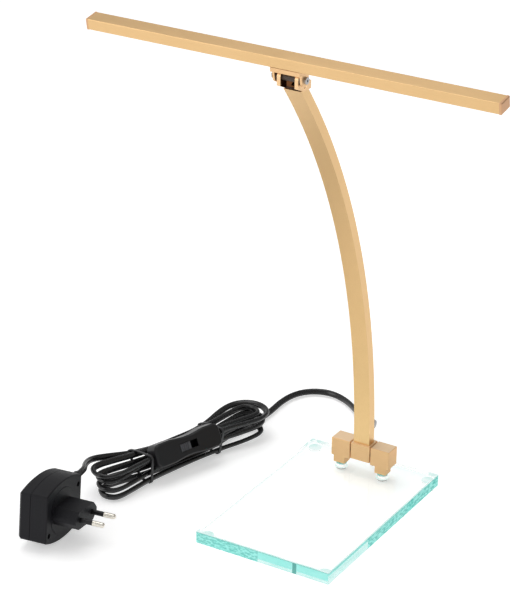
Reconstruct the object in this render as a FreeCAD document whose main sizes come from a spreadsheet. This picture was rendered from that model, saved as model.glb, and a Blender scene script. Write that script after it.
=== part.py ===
import FreeCAD, Part
import math
import os

from FreeCAD import Placement, Rotation, Vector

# Piano lamp: a slim light bar on a curved square-section arm, hinged on a clear glass base.
# Units are millimetres. X runs along the bar, +Y is the back and +Z is up.
# The origin is under the middle of the glass base, on the surface that the lamp stands on.

DIMENSIONS = {
    "plate_width": 110,
    "plate_depth": 170,
    "plate_thickness": 10,
    "plate_arris": 0.6,
    "bumper_height": 2.5,
    "bumper_diameter": 10,
    "bumper_spacing_x": 98,
    "bumper_spacing_y": 158,
    "foot_spacing": 35.4,
    "foot_width": 9.4,
    "foot_depth": 8.3,
    "foot_height": 5.5,
    "foot_gap": 0.4,
    "glass_hole": 8,
    "block_front": 60.2,
    "block_depth": 13.4,
    "block_edge": 0.4,
    "outer_width": 15.9,
    "outer_height": 14.5,
    "middle_width": 16.2,
    "middle_height": 13.4,
    "block_gap": 0.7,
    "axle_diameter": 5,
    "axle_length": 40,
    "running_fit": 0.03,
    "grub_diameter": 3,
    "grub_length": 3.8,
    "base_screw_diameter": 3.9,
    "base_screw_head": 7.4,
    "base_screw_head_height": 1.2,
    "base_screw_length": 19,
    "bush_flange": 0.6,
    "arm_width": 13.3,
    "arm_thickness": 7.6,
    "arm_wall": 1.2,
    "arm_radius": 509.5,
    "arm_centre_y": -447.2,
    "arm_centre_z": 24.45,
    "arm_top_z": 350,
    "tenon_length": 14,
    "exit_z": 43,
    "exit_diameter": 6.4,
    "pivot_y": -57.5,
    "pivot_z": 359.5,
    "lug_radius": 4.2,
    "lug_thickness": 2.7,
    "knuckle_width": 16.3,
    "bar_pitch": 10,
    "bar_length": 310,
    "bar_depth": 12,
    "bar_height": 8,
    "bar_wall": 1.2,
    "bar_offset_y": -1,
    "bar_offset_z": 12.8,
    "slot_width": 8.4,
    "cap_thickness": 2,
    "plate_under_bar": 3.2,
    "bracket_width": 22.4,
    "ear_thickness": 1.6,
    "ear_radius": 4.6,
    "pivot_bolt": 2.6,
    "led_count": 36,
    "cord_diameter": 4.4,
    "switch_length": 63,
    "switch_width": 18.4,
    "switch_height": 12,
    "switch_waist": 1.5,
    "window_length": 17,
    "window_width": 6,
    "slider_length": 9.5,
    "slider_travel": 6.5,
    "nose_length": 19.5,
    "nose_width": 35.3,
    "nose_height": 13.7,
    "pin_diameter": 4,
    "pin_length": 19,
    "pin_spacing": 18,
    "cover_width": 53,
    "cover_side": 36,
    "cover_bulge": 5,
    "cover_shift": 2.5,
    "front_cover_depth": 13.5,
    "back_cover_depth": 9.5,
    "cover_wall": 2,
}

D = DIMENSIONS
PLATE_TOP = D["bumper_height"] + D["plate_thickness"]
FOOT_BOTTOM = PLATE_TOP + D["foot_gap"]
BLOCK_TOP = FOOT_BOTTOM + D["foot_height"] + D["outer_height"]
AXIS_Y = D["block_front"] + D["block_depth"] / 2
AXIS_Z = BLOCK_TOP - D["middle_height"] / 2
OUTER_START = D["middle_width"] / 2 + D["block_gap"]
FOOT_X = D["foot_spacing"] / 2
FOOT_Y = D["block_front"] + D["foot_depth"] / 2

doc = FreeCAD.newDocument("piano_lamp")
sheet = doc.addObject("Spreadsheet::Sheet", "sizes")
for row, (alias, value) in enumerate(DIMENSIONS.items(), start=1):
    sheet.set("A%d" % row, alias)
    sheet.set("B%d" % row, str(value))
    sheet.setAlias("B%d" % row, alias)
doc.recompute()

pieces = []


def keep(label, obj):
    """Marks an object as a finished piece of the lamp."""
    obj.Label = label
    pieces.append(obj)
    return obj


def bind(obj, **bindings):
    """Ties properties to the sheet. A double underscore stands for a dot in the property's path."""
    for name, text in bindings.items():
        path = "." + name.replace("__", ".") if "__" in name else name
        obj.setExpression(path, str(text))


def place(obj, x=0, y=0, z=0):
    """Ties an object's position to expressions of the sheet's cells."""
    bind(obj, Placement__Base__x=x, Placement__Base__y=y, Placement__Base__z=z)


def box(name, length, width, height, x=0, y=0, z=0):
    """A box from its low corner, with every size bound."""
    obj = doc.addObject("Part::Box", name)
    bind(obj, Length=length, Width=width, Height=height)
    place(obj, x, y, z)
    return obj


def cylinder(name, radius, height, x=0, y=0, z=0, along="z"):
    """A cylinder from the centre of its low end, along one axis."""
    obj = doc.addObject("Part::Cylinder", name)
    turns = {"z": Rotation(), "x": Rotation(Vector(0, 1, 0), 90), "y": Rotation(Vector(1, 0, 0), -90)}
    obj.Placement = Placement(Vector(), turns[along])
    bind(obj, Radius=radius, Height=height)
    place(obj, x, y, z)
    return obj


def cut(name, base, tool):
    obj = doc.addObject("Part::Cut", name)
    obj.Base, obj.Tool = base, tool
    return obj


def fuse(name, *shapes):
    obj = doc.addObject("Part::MultiFuse", name)
    obj.Shapes = list(shapes)
    return obj


def group(name, shapes):
    """Several separate solids of one kind in one piece."""
    obj = doc.addObject("Part::Compound", name)
    obj.Links = list(shapes)
    return obj


def new_body(name):
    return doc.addObject("PartDesign::Body", name)


def plane_of(body, role):
    return next(f for f in body.Origin.OriginFeatures if f.Role == role)


def outline(body, name, role, points, offset=0):
    """A closed sketch of straight sides whose corners are bound to expressions."""
    sketch = body.newObject("Sketcher::SketchObject", name)
    sketch.AttachmentSupport = [(plane_of(body, role), "")]
    sketch.MapMode = "FlatFace"
    sketch.AttachmentOffset = Placement(Vector(0, 0, offset), Rotation())
    add_outline(sketch, points)
    return sketch


def add_outline(sketch, points):
    import Sketcher

    start = sketch.GeometryCount
    values = [tuple(number(c) for c in point) for point in points]
    count = len(points)
    for i, (a, b) in enumerate(zip(values, values[1:] + values[:1])):
        sketch.addGeometry(Part.LineSegment(Vector(a[0], a[1], 0), Vector(b[0], b[1], 0)), False)
    for i in range(count):
        after = start + (i + 1) % count
        sketch.addConstraint(Sketcher.Constraint("Coincident", start + i, 2, after, 1))
    for i, (across, up) in enumerate(points):
        for kind, text, value in (("DistanceX", across, values[i][0]), ("DistanceY", up, values[i][1])):
            if abs(value) < 1e-9:
                onto = -2 if kind == "DistanceX" else -1
                sketch.addConstraint(Sketcher.Constraint("PointOnObject", start + i, 1, onto))
                continue
            index = sketch.addConstraint(Sketcher.Constraint(kind, -1, 1, start + i, 1, value))
            sketch.setExpression("Constraints[%d]" % index, str(text))


def circle(body, name, role, centres, radius, offset=0):
    """A sketch of equal circles whose centres and radius are bound."""
    import Sketcher

    sketch = body.newObject("Sketcher::SketchObject", name)
    sketch.AttachmentSupport = [(plane_of(body, role), "")]
    sketch.MapMode = "FlatFace"
    sketch.AttachmentOffset = Placement(Vector(0, 0, offset), Rotation())
    for across, up in centres:
        x, y = number(across), number(up)
        edge = sketch.addGeometry(Part.Circle(Vector(x, y, 0), Vector(0, 0, 1), number(radius)), False)
        index = sketch.addConstraint(Sketcher.Constraint("Radius", edge, number(radius)))
        sketch.setExpression("Constraints[%d]" % index, str(radius))
        for kind, text, value in (("DistanceX", across, x), ("DistanceY", up, y)):
            if abs(value) < 1e-9:
                onto = -2 if kind == "DistanceX" else -1
                sketch.addConstraint(Sketcher.Constraint("PointOnObject", edge, 3, onto))
                continue
            index = sketch.addConstraint(Sketcher.Constraint(kind, -1, 1, edge, 3, value))
            sketch.setExpression("Constraints[%d]" % index, str(text))
    return sketch


def number(text):
    """The value of an expression of the sheet's cells, for a sketch's first guess."""
    if isinstance(text, (int, float)):
        return float(text)
    value = sheet.evalExpression(text)
    return float(getattr(value, "Value", value))


def pad(body, name, sketch, length, both_ways=False, backwards=False):
    feature = body.newObject("PartDesign::Pad", name)
    feature.Profile = sketch
    feature.Midplane = both_ways
    feature.Reversed = backwards
    bind(feature, Length=length)
    return feature


def pocket(body, name, sketch, length=None, both_ways=False, backwards=False):
    """A pocket of one depth, or right through both ways, that must take material away."""
    doc.recompute()
    before = body.Shape.Volume
    feature = body.newObject("PartDesign::Pocket", name)
    feature.Profile = sketch
    feature.Reversed = backwards
    if length is None:
        feature.Type = "ThroughAll"
        feature.Midplane = True
    else:
        feature.Midplane = both_ways
        bind(feature, Length=length)
    doc.recompute()
    assert body.Shape.Volume < before - 1e-6, name + " cuts nothing"
    return feature


def soften(body, name, size, chosen, kind="Fillet"):
    """Rounds or bevels the edges of the body that a test picks, in the body's own frame."""
    doc.recompute()
    tip = body.Tip
    names = ["Edge%d" % (i + 1) for i, e in enumerate(tip.Shape.Edges) if chosen(e)]
    assert names, name + " finds no edge"
    feature = body.newObject("PartDesign::" + kind, name)
    feature.Base = (tip, names)
    bind(feature, **{"Radius" if kind == "Fillet" else "Size": size})
    return feature


def direction(edge):
    ends = edge.Vertexes[-1].Point - edge.Vertexes[0].Point
    return ends.normalize() if ends.Length > 1e-9 else Vector()


def straight(edge, axis):
    return edge.Curve.TypeId == "Part::GeomLine" and abs(direction(edge).dot(axis)) > 0.999


X, Y, Z = Vector(1, 0, 0), Vector(0, 1, 0), Vector(0, 0, 1)

# Glass base


def glass_plate():
    body = new_body("glass_plate_body")
    sides = outline(body, "plate_outline", "XY_Plane", rectangle(
        "-sizes.plate_width / 2", "-sizes.plate_depth / 2",
        "sizes.plate_width / 2", "sizes.plate_depth / 2"))
    pad(body, "plate_pad", sides, "sizes.plate_thickness")
    holes = circle(body, "foot_holes", "XY_Plane", foot_centres(), "sizes.glass_hole / 2")
    pocket(body, "foot_holes_cut", holes)
    soften(body, "arris", "sizes.plate_arris", lambda e: e.Curve.TypeId == "Part::GeomLine", "Chamfer")
    place(body, z="sizes.bumper_height")
    keep("glass_plate", body)


def rectangle(left, bottom, right, top):
    return [(left, bottom), (right, bottom), (right, top), (left, top)]


def foot_centres():
    along = "sizes.block_front + sizes.foot_depth / 2"
    return [("-sizes.foot_spacing / 2", along), ("sizes.foot_spacing / 2", along)]


def base_bumpers():
    domes = []
    for across in (-1, 1):
        for back in (-1, 1):
            pillar = cylinder("bumper_disc", "sizes.bumper_diameter / 2", "sizes.bumper_height",
                              "%d * sizes.bumper_spacing_x / 2" % across,
                              "%d * sizes.bumper_spacing_y / 2" % back)
            dome = doc.addObject("Part::Chamfer", "bumper_dome")
            dome.Base = pillar
            doc.recompute()
            rim = next(i for i, e in enumerate(pillar.Shape.Edges, 1)
                       if len(e.Vertexes) == 1 and e.BoundBox.ZMax < 0.1)
            dome.Edges = [(rim, 1.2, 1.6)]
            domes.append(dome)
    keep("base_bumpers", group("bumpers", domes))


def base_fixings():
    """Screws from below, with clear bushes that keep metal off the glass."""
    screws, bushes, washers = [], [], []
    for across in (-1, 1):
        x = "%d * sizes.foot_spacing / 2" % across
        y = "sizes.block_front + sizes.foot_depth / 2"
        flange_z = "sizes.bumper_height - sizes.bush_flange"
        head = cylinder("screw_head", "sizes.base_screw_head / 2", "sizes.base_screw_head_height",
                        x, y, flange_z + " - sizes.base_screw_head_height")
        shank = cylinder("screw_shank", "sizes.base_screw_diameter / 2", "sizes.base_screw_length",
                         x, y, flange_z)
        drive = doc.addObject("Part::Prism", "screw_drive")
        drive.Polygon = 6
        bind(drive, Circumradius=1.25, Height=0.8)
        place(drive, x, y, flange_z + " - sizes.base_screw_head_height")
        screws.append(cut("base_screw", fuse("screw_solid", head, shank), drive))
        flange = cylinder("bush_flange", "sizes.bumper_diameter / 2", "sizes.bush_flange", x, y, flange_z)
        sleeve = cylinder("bush_sleeve", "sizes.glass_hole / 2 - 0.15", "sizes.plate_thickness - 0.2",
                          x, y, "sizes.bumper_height")
        bore = cylinder("bush_bore", "sizes.base_screw_diameter / 2 + 0.1", 20, x, y, 0)
        bushes.append(cut("glass_bush", fuse("bush_solid", flange, sleeve), bore))
        disc = cylinder("washer_disc", "sizes.foot_width / 2 - 0.9", "sizes.foot_gap", x, y,
                        "sizes.bumper_height + sizes.plate_thickness")
        hole = cylinder("washer_hole", "sizes.base_screw_diameter / 2 + 0.1", 30, x, y, 0)
        washers.append(cut("foot_washer", disc, hole))
    keep("base_screws", group("base_screw_pair", screws))
    keep("glass_bushes", group("glass_bush_pair", bushes))
    keep("foot_washers", group("foot_washer_pair", washers))


# Base hinge


def outer_block(label, side):
    """A block with its foot, milled from one bar, bored for the axle, grub screw and base screw."""
    start = "sizes.middle_width / 2 + sizes.block_gap"
    body = new_body(label + "_body")
    low, high = sorted((side * OUTER_START, side * (OUTER_START + D["outer_width"])))
    near, far = "%d * (%s)" % (side, start), "%d * (%s + sizes.outer_width)" % (side, start)
    left, right = (near, far) if side > 0 else (far, near)
    face = outline(body, "block_face", "XZ_Plane", rectangle(left, 0, right, "sizes.outer_height"))
    pad(body, "block_pad", face, "sizes.block_depth", backwards=True)
    middle = "%d * sizes.foot_spacing / 2" % side
    foot = outline(body, "foot_face", "XZ_Plane", rectangle(
        middle + " - sizes.foot_width / 2", "-sizes.foot_height",
        middle + " + sizes.foot_width / 2", "sizes.outer_height / 2"))
    pad(body, "foot_pad", foot, "sizes.foot_depth", backwards=True)
    height = "sizes.outer_height - sizes.middle_height / 2"
    bore = circle(body, "axle_bore", "YZ_Plane", [("sizes.block_depth / 2", height)],
                  "sizes.axle_diameter / 2 + 0.01", offset=side * (D["axle_length"] / 2 + 0.2))
    pocket(body, "axle_bore_cut", bore, "20", backwards=side < 0)
    grub = circle(body, "grub_bore", "XZ_Plane", [("%d * 16.5" % side, height)],
                  "sizes.grub_diameter / 2 + 0.02", offset=-D["block_depth"])
    pocket(body, "grub_bore_cut", grub, "sizes.block_depth / 2", backwards=True)
    tapped = circle(body, "tapped_hole", "XY_Plane", [(middle, "sizes.foot_depth / 2")],
                    "sizes.base_screw_diameter / 2 + 0.02", offset=-D["foot_height"])
    pocket(body, "tapped_hole_cut", tapped, "sizes.foot_height + 3.2", backwards=True)
    soften(body, "edges", "sizes.block_edge", lambda e: outer_edge(e, body), "Chamfer")
    place(body, y="sizes.block_front",
          z="sizes.bumper_height + sizes.plate_thickness + sizes.foot_gap + sizes.foot_height")
    keep(label, body)


def outer_edge(edge, body):
    """Long straight edges on the outside of a block, not those where the foot meets it."""
    if edge.Curve.TypeId != "Part::GeomLine" or edge.Length < 8:
        return False
    b = body.Tip.Shape.BoundBox
    p = edge.CenterOfMass
    touching = [abs(p.x - b.XMin) < 0.01 or abs(p.x - b.XMax) < 0.01,
                abs(p.y - b.YMin) < 0.01 or abs(p.y - b.YMax) < 0.01,
                abs(p.z - b.ZMax) < 0.01]
    return sum(touching) >= 2


def middle_block():
    """The block between the outer two, which turns on the axle and carries the arm."""
    body = new_body("hinge_block_middle_body")
    face = outline(body, "block_face", "XZ_Plane", rectangle(
        "-sizes.middle_width / 2", 0, "sizes.middle_width / 2", "sizes.middle_height"))
    pad(body, "block_pad", face, "sizes.block_depth", backwards=True)
    bore = circle(body, "axle_bore", "YZ_Plane", [("sizes.block_depth / 2", "sizes.middle_height / 2")],
                  "sizes.axle_diameter / 2 + sizes.running_fit")
    pocket(body, "axle_bore_cut", bore)
    grub = circle(body, "grub_bore", "XZ_Plane", [(0, "sizes.middle_height / 2")],
                  "sizes.grub_diameter / 2 + 0.02", offset=-D["block_depth"])
    pocket(body, "grub_bore_cut", grub, "sizes.block_depth / 2", backwards=True)
    soften(body, "edges", "sizes.block_edge", lambda e: outer_edge(e, body), "Chamfer")
    place(body, y="sizes.block_front", z="%r" % (BLOCK_TOP - D["middle_height"]))
    keep("hinge_block_middle", body)


def hinge_small_parts():
    keep("hinge_axle", cylinder("axle", "sizes.axle_diameter / 2", "sizes.axle_length",
                                "-sizes.axle_length / 2", AXIS_Y, AXIS_Z, "x"))
    washers = []
    for side in (-1, 1):
        start = side * (D["middle_width"] / 2 + D["block_gap"] / 2) - 0.3
        disc = cylinder("friction_disc", 5.6, 0.6, start, AXIS_Y, AXIS_Z, "x")
        hole = cylinder("friction_hole", "sizes.axle_diameter / 2 + sizes.running_fit", 2,
                        start - 0.5, AXIS_Y, AXIS_Z, "x")
        washers.append(cut("friction_washer", disc, hole))
    keep("friction_washers", group("friction_washer_pair", washers))
    back = D["block_front"] + D["block_depth"]
    keep("axle_grub_screws", group("axle_grub_pair", [grub_screw(side * 16.5, back) for side in (-1, 1)]))
    keep("friction_grub_screw", grub_screw(0, back))


def grub_screw(x, back):
    """A hexagon-socket grub screw that ends just short of the axle."""
    start = back - 0.2 - D["grub_length"]
    body = cylinder("grub_body", "sizes.grub_diameter / 2", "sizes.grub_length", x, start, AXIS_Z, "y")
    socket = doc.addObject("Part::Prism", "grub_socket")
    socket.Polygon = 6
    socket.Placement = Placement(Vector(), Rotation(Vector(1, 0, 0), -90))
    bind(socket, Circumradius=0.85, Height=1.6)
    place(socket, x, back - 1.7, AXIS_Z)
    return cut("grub_screw", body, socket)


# Arm


def arm_tube():
    """A flat rectangular tube rolled to one arc, cut level at both ends, with the cord's exit hole."""
    body = new_body("arm_tube_body")
    inner, outer = "sizes.arm_radius", "sizes.arm_radius + sizes.arm_thickness"
    half = "sizes.arm_width / 2"
    section = outline(body, "tube_section", "XY_Plane", rectangle("-" + half, inner, half, outer))
    add_outline(section, rectangle("-(%s - sizes.arm_wall)" % half, inner + " + sizes.arm_wall",
                                   half + " - sizes.arm_wall", outer + " - sizes.arm_wall"))
    roll = body.newObject("PartDesign::Revolution", "tube_roll")
    roll.Profile = section
    roll.ReferenceAxis = (plane_axis(body, "X_Axis"), [""])
    roll.Angle = 42
    foot = "%r - sizes.arm_centre_z" % BLOCK_TOP
    top = "sizes.arm_top_z - sizes.arm_centre_z"
    below = outline(body, "level_foot", "YZ_Plane", rectangle(500, -20, 530, foot))
    pocket(body, "level_foot_cut", below)
    above = outline(body, "level_top", "YZ_Plane", rectangle(330, top, 530, "500"))
    pocket(body, "level_top_cut", above)
    hole = circle(body, "cord_exit", "XZ_Plane", [(0, "sizes.exit_z - sizes.arm_centre_z")],
                  "sizes.exit_diameter / 2", offset=-(D["arm_radius"] + D["arm_thickness"] + 3))
    pocket(body, "cord_exit_cut", hole, "7", backwards=True)
    place(body, y="sizes.arm_centre_y", z="sizes.arm_centre_z")
    keep("arm_tube", body)


def plane_axis(body, role):
    return next(f for f in body.Origin.OriginFeatures if f.Role == role)


def arm_y(radius_offset, height):
    """Where the arm's arc, offset outwards from its inner face, is at a height."""
    radius = D["arm_radius"] + radius_offset
    return D["arm_centre_y"] + math.sqrt(radius ** 2 - (height - D["arm_centre_z"]) ** 2)


def arm_small_parts():
    wall, thick = D["arm_wall"], D["arm_thickness"]
    clear = 0.1
    front = arm_y(wall, BLOCK_TOP) + clear
    depth = thick - 2 * wall - 2 * clear
    width = D["arm_width"] - 2 * wall - 2 * clear
    plug = box("tenon_plug", width, depth, 6, -width / 2, front, BLOCK_TOP)
    keep("arm_tenon", plug)
    ring = cylinder("grommet_ring", "sizes.exit_diameter / 2 - 0.05", 2.2, 0,
                    arm_y(thick, D["exit_z"]) - 1.3, "sizes.exit_z", "y")
    lip = cylinder("grommet_lip", "sizes.exit_diameter / 2 + 0.9", 1, 0,
                   arm_y(thick, D["exit_z"] - 4) + 0.05, "sizes.exit_z", "y")
    bore = cylinder("grommet_bore", "sizes.cord_diameter / 2 + 0.05", 12, 0,
                    arm_y(thick, D["exit_z"]) - 5, "sizes.exit_z", "y")
    keep("cord_grommet", cut("grommet", fuse("grommet_solid", ring, lip), bore))


def knuckle():
    """The cradle on the arm's top end: two round lugs in front and a raised lip behind."""
    body = new_body("arm_knuckle_body")
    floor = "sizes.arm_top_z - sizes.pivot_z"
    profile = outline(body, "knuckle_side", "YZ_Plane", [
        (-4.2, -5.8), (4.0, floor), (13.2, floor), (13.2, -3.8), (12.2, -3.6), (4.6, -8.2),
        (4.2, -6.5), (4.2, 0), (-4.2, 0)])
    pad(body, "knuckle_pad", profile, "sizes.knuckle_width", both_ways=True)
    lugs = circle(body, "lug_rounds", "YZ_Plane", [(0, 0)], "sizes.lug_radius")
    pad(body, "lug_pad", lugs, "sizes.knuckle_width", both_ways=True)
    slot = outline(body, "lug_slot", "YZ_Plane", [
        (-6, -6.4), (-2, -7.4), (4.6, -8.2), (12.2, -3.6), (12.2, 6), (-6, 6)])
    pocket(body, "lug_slot_cut", slot, "sizes.knuckle_width - 2 * sizes.lug_thickness", both_ways=True)
    window = outline(body, "lead_window", "XY_Plane", rectangle(-3, 5.6, 3, 9.6), offset=-12)
    pocket(body, "lead_window_cut", window, "12", backwards=True)
    bore = circle(body, "pivot_bore", "YZ_Plane", [(0, 0)], "sizes.pivot_bolt / 2 + sizes.running_fit")
    pocket(body, "pivot_bore_cut", bore)
    place(body, y="sizes.pivot_y", z="sizes.pivot_z")
    keep("arm_knuckle", body)


LEAD_RADIUS = 1.4


def arm_lead():
    """The twin lead inside the arm, from the exit hole to the knuckle."""
    middle = D["arm_thickness"] / 2
    bottom, top = D["exit_z"] - 2, D["arm_top_z"] - 6
    heights = [bottom, (bottom + top) / 2, top]
    points = [Vector(0, arm_y(middle, z), z) for z in heights]
    path = Part.Wire([Part.Arc(*points).toShape()])
    radial = Vector(0, points[0].y - D["arm_centre_y"], points[0].z - D["arm_centre_z"])
    along = Vector(0, -radial.z, radial.y).normalize()
    side = X * LEAD_RADIUS
    up = along.cross(X).normalize() * LEAD_RADIUS
    corners = [points[0] + side * math.cos(a) + up * math.sin(a) for a in (math.pi / 3 * i for i in range(6))]
    section = Part.makePolygon(corners + corners[:1])
    obj = doc.addObject("Part::Feature", "arm_lead_tube")
    obj.Shape = path.makePipeShell([section], True, False)
    keep("arm_lead", obj)


# Light bar, modelled level about the pivot and then pitched


def on_head(obj):
    """Carries a piece that is modelled about the pivot to the pitched light bar."""
    own = obj.Placement
    obj.Placement = Placement(own.Base, Rotation(X, D["bar_pitch"]))
    bind(obj, Placement__Base__y="sizes.pivot_y", Placement__Base__z="sizes.pivot_z")
    return obj


def light_profile():
    """An extruded channel: walls, a slot for the diffuser below and two small inner ledges."""
    body = new_body("light_profile_body")
    bottom = "sizes.bar_offset_z - sizes.bar_height / 2"
    top = "sizes.bar_offset_z + sizes.bar_height / 2"
    front = "sizes.bar_offset_y - sizes.bar_depth / 2"
    back = "sizes.bar_offset_y + sizes.bar_depth / 2"
    wall, slot = "sizes.bar_wall", "sizes.slot_width / 2"
    section = outline(body, "channel_section", "YZ_Plane", [
        (front, bottom), ("sizes.bar_offset_y - " + slot, bottom),
        ("sizes.bar_offset_y - " + slot, bottom + " + 1.8"),
        (front + " + " + wall, bottom + " + 1.8"),
        (front + " + " + wall, top + " - " + wall),
        (back + " - " + wall, top + " - " + wall),
        (back + " - " + wall, bottom + " + 1.8"),
        ("sizes.bar_offset_y + " + slot, bottom + " + 1.8"),
        ("sizes.bar_offset_y + " + slot, bottom),
        (back, bottom), (back, top), (front, top)])
    pad(body, "channel_pad", section, "sizes.bar_length", both_ways=True)
    low = number(bottom)
    high = number(top)
    ends = (number(front), number(back))
    soften(body, "long_edges", 0.5, lambda e: straight(e, X) and e.Length > 300
           and min(abs(e.CenterOfMass.y - y) for y in ends) < 0.01
           and min(abs(e.CenterOfMass.z - z) for z in (low, high)) < 0.01, "Fillet")
    keep("light_profile", on_head(body))


def end_cap(label, side):
    """A moulded cap that covers the bar's end, with a tongue inside the channel."""
    body = new_body(label + "_body")
    half_depth, half_height = "sizes.bar_depth / 2", "sizes.bar_height / 2"
    y, z = "sizes.bar_offset_y", "sizes.bar_offset_z"
    face = outline(body, "cap_face", "YZ_Plane", rectangle(
        "%s - %s" % (y, half_depth), "%s - %s" % (z, half_height),
        "%s + %s" % (y, half_depth), "%s + %s" % (z, half_height)), offset=side * D["bar_length"] / 2)
    pad(body, "cap_pad", face, "sizes.cap_thickness", backwards=side < 0)
    end = side * (D["bar_length"] / 2 + D["cap_thickness"])
    soften(body, "cap_rounding", 0.5, lambda e: abs(e.CenterOfMass.x - end) < 0.01, "Chamfer")
    inner = outline(body, "tongue_face", "YZ_Plane", rectangle(
        "%s - %s + sizes.bar_wall + 0.1" % (y, half_depth), z + " - 0.9",
        "%s + %s - sizes.bar_wall - 0.1" % (y, half_depth), "%s + %s - sizes.bar_wall - 0.1" % (z, half_height)),
        offset=side * D["bar_length"] / 2)
    pad(body, "tongue_pad", inner, "4", backwards=side > 0)
    keep(label, on_head(body))


def light_source():
    """Board, chips and diffuser strip inside the channel."""
    half = D["bar_length"] / 2 - 5
    y, z = D["bar_offset_y"], D["bar_offset_z"]
    ceiling = z + D["bar_height"] / 2 - D["bar_wall"]
    inner = D["bar_depth"] - 2 * D["bar_wall"] - 0.2
    board = box("board", 2 * half, inner, 1, -half, y - inner / 2, ceiling - 1)
    keep("led_board", headed("led_board_placed", board))
    chips = []
    step = (2 * half - 8) / (D["led_count"] - 1)
    for i in range(D["led_count"]):
        x = -half + 4 + i * step
        chips.append(box("chip", 3.5, 2.8, 0.7, x - 1.75, y - 1.4, ceiling - 1.7))
    keep("led_chips", headed("led_chips_placed", group("chips", chips)))
    bottom = z - D["bar_height"] / 2
    strip = box("strip", D["bar_length"], D["slot_width"] - 0.1, 1.8, -D["bar_length"] / 2,
                y - D["slot_width"] / 2 + 0.05, bottom + 0.1)
    flange = box("strip_flange", D["bar_length"] - 9, inner, 0.8, -D["bar_length"] / 2 + 4.5,
                 y - inner / 2, bottom + 1.8)
    keep("diffuser", headed("diffuser_placed", fuse("diffuser_solid", strip, flange)))


def headed(name, obj):
    """The same solid carried to the pitched bar, as an object of its own."""
    wrap = doc.addObject("Part::Compound", name)
    wrap.Links = [obj]
    return on_head(wrap)


def head_bracket():
    """A plate screwed under the bar with two round ears that embrace the knuckle."""
    body = new_body("head_bracket_body")
    top = "sizes.bar_offset_z - sizes.bar_height / 2"
    plate = outline(body, "bracket_plate", "YZ_Plane", rectangle(
        "sizes.bar_offset_y - sizes.bar_depth / 2", top + " - sizes.plate_under_bar",
        "sizes.bar_offset_y + sizes.bar_depth / 2", top))
    pad(body, "bracket_plate_pad", plate, "sizes.bracket_width", both_ways=True)
    ears = outline(body, "ear_web", "YZ_Plane", rectangle(
        "-sizes.ear_radius", 0, "sizes.ear_radius", top + " - sizes.plate_under_bar / 2"))
    pad(body, "ear_web_pad", ears, "sizes.bracket_width", both_ways=True)
    rounds = circle(body, "ear_rounds", "YZ_Plane", [(0, 0)], "sizes.ear_radius")
    pad(body, "ear_rounds_pad", rounds, "sizes.bracket_width", both_ways=True)
    gap = outline(body, "ear_gap", "YZ_Plane", rectangle(
        -8, -8, 8, top + " - sizes.plate_under_bar"))
    pocket(body, "ear_gap_cut", gap, "sizes.bracket_width - 2 * sizes.ear_thickness", both_ways=True)
    bore = circle(body, "bolt_bore", "YZ_Plane", [(0, 0)], "sizes.pivot_bolt / 2 + 0.02")
    pocket(body, "bolt_bore_cut", bore)
    screw_holes = circle(body, "screw_holes", "XY_Plane", [(-7.5, "sizes.bar_offset_y"), (7.5, "sizes.bar_offset_y")],
                         1.1, offset=0)
    pocket(body, "screw_holes_cut", screw_holes)
    keep("head_bracket", on_head(body))


def pivot_parts():
    """Bolt, nut, side washers and the friction barrel between the lugs."""
    half = D["bracket_width"] / 2
    bolt_length = 2 * half + 3.4
    shank = cylinder("bolt_shank", "sizes.pivot_bolt / 2", bolt_length, -half - 2.4, 0, 0, "x")
    head = cylinder("bolt_head", 2.5, 1.6, half, 0, 0, "x")
    drive = cylinder("bolt_drive", 0.9, 1, half + 0.9, 0, 0, "x")
    keep("pivot_bolt", headed("pivot_bolt_placed", cut("bolt", fuse("bolt_solid", shank, head), drive)))
    nut = doc.addObject("Part::Prism", "nut_prism")
    nut.Polygon = 6
    nut.Placement = Placement(Vector(), Rotation(Vector(0, 1, 0), 90))
    bind(nut, Circumradius=2.8, Height=2)
    place(nut, -half - 2, 0, 0)
    hole = cylinder("nut_hole", "sizes.pivot_bolt / 2 + 0.02", 4, -half - 3, 0, 0, "x")
    keep("pivot_nut", headed("pivot_nut_placed", cut("nut", nut, hole)))
    lug_out = D["knuckle_width"] / 2
    ear_in = half - D["ear_thickness"]
    washers = []
    for side in (-1, 1):
        start = min(side * (lug_out + 0.05), side * (ear_in - 0.05))
        disc = cylinder("side_disc", 3.9, ear_in - lug_out - 0.1, start, 0, 0, "x")
        hole = cylinder("side_hole", "sizes.pivot_bolt / 2 + sizes.running_fit", 4, start - 1, 0, 0, "x")
        washers.append(cut("side_washer", disc, hole))
    keep("pivot_washers", headed("pivot_washers_placed", group("side_washer_pair", washers)))
    inner = D["knuckle_width"] / 2 - D["lug_thickness"] - 0.1
    barrel = cylinder("barrel", 2.6, 2 * inner, -inner, 0, 0, "x")
    hole = cylinder("barrel_hole", "sizes.pivot_bolt / 2 + sizes.running_fit", 20, -10, 0, 0, "x")
    keep("friction_barrel", headed("friction_barrel_placed", cut("barrel_ring", barrel, hole)))
    screws = []
    underside = D["bar_offset_z"] - D["bar_height"] / 2 - D["plate_under_bar"]
    for side in (-1, 1):
        screw = cylinder("bracket_screw_shank", 1.08, D["plate_under_bar"], side * 7.5,
                         "sizes.bar_offset_y", underside)
        screws.append(screw)
    keep("bracket_screws", headed("bracket_screws_placed", group("bracket_screw_pair", screws)))


# Cord: stretches with tangent arcs, and the hank

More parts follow.
